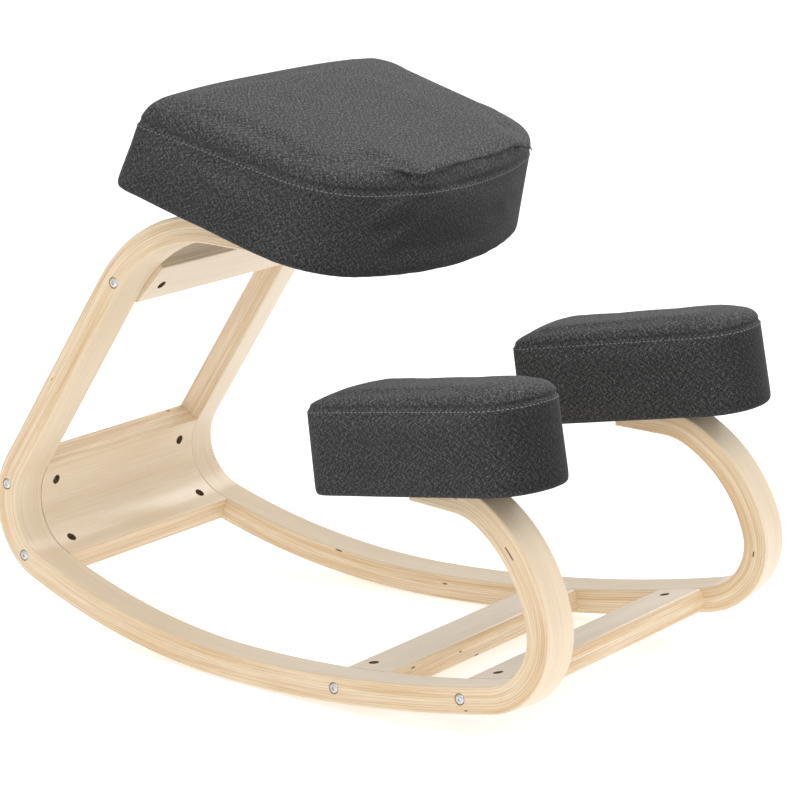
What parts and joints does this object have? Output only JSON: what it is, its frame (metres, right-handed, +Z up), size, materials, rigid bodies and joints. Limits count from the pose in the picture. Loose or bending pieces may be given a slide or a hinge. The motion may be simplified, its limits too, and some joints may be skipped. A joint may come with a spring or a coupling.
{
  "type": "kneeling_chair",
  "caption": "Rocking kneeling chair: curved birch frames with rockers, a tilted D-shaped seat cushion and a pair of knee pads in charcoal cloth",
  "frame": {"origin": "on the floor, under the middle of the chair's overall width and length", "axes": "+X to the sitter's left, +Y to the rear, from the knee pads towards the seat, +Z up"},
  "size_m": [0.4872, 0.7228, 0.567],
  "materials": {
    "birch": "satin",
    "board_wood": "matte",
    "dowel_wood": "matte",
    "cover_fabric": "matte",
    "foam": "matte",
    "under_cloth": "matte",
    "steel": "satin"
  },
  "bodies": {
    "root": {"right_side_frame": "birch", "left_side_frame": "birch", "rear_plate": "birch", "top_crossbar": "birch", "rear_floor_crossbar": "birch", "front_floor_crossbar": "birch", "top_crossbar_bolts": "steel", "top_crossbar_barrel_nuts": "steel", "top_crossbar_dowels": "dowel_wood", "rear_plate_bolts": "steel", "rear_plate_barrel_nuts": "steel", "rear_floor_crossbar_bolts": "steel", "rear_floor_crossbar_barrel_nuts": "steel", "rear_floor_crossbar_dowels": "dowel_wood", "front_floor_crossbar_bolts": "steel", "front_floor_crossbar_barrel_nuts": "steel", "front_floor_crossbar_dowels": "dowel_wood", "seat_cover": "cover_fabric", "seat_foam": "foam", "seat_board": "board_wood", "seat_under_cloth": "under_cloth", "seat_tee_nuts": "steel", "seat_screws": "steel", "right_knee_cover": "cover_fabric", "right_knee_foam": "foam", "right_knee_board": "board_wood", "right_knee_under_cloth": "under_cloth", "right_knee_tee_nuts": "steel", "right_knee_screws": "steel", "left_knee_cover": "cover_fabric", "left_knee_foam": "foam", "left_knee_board": "board_wood", "left_knee_under_cloth": "under_cloth", "left_knee_tee_nuts": "steel", "left_knee_screws": "steel"}
  },
  "joints": []
}
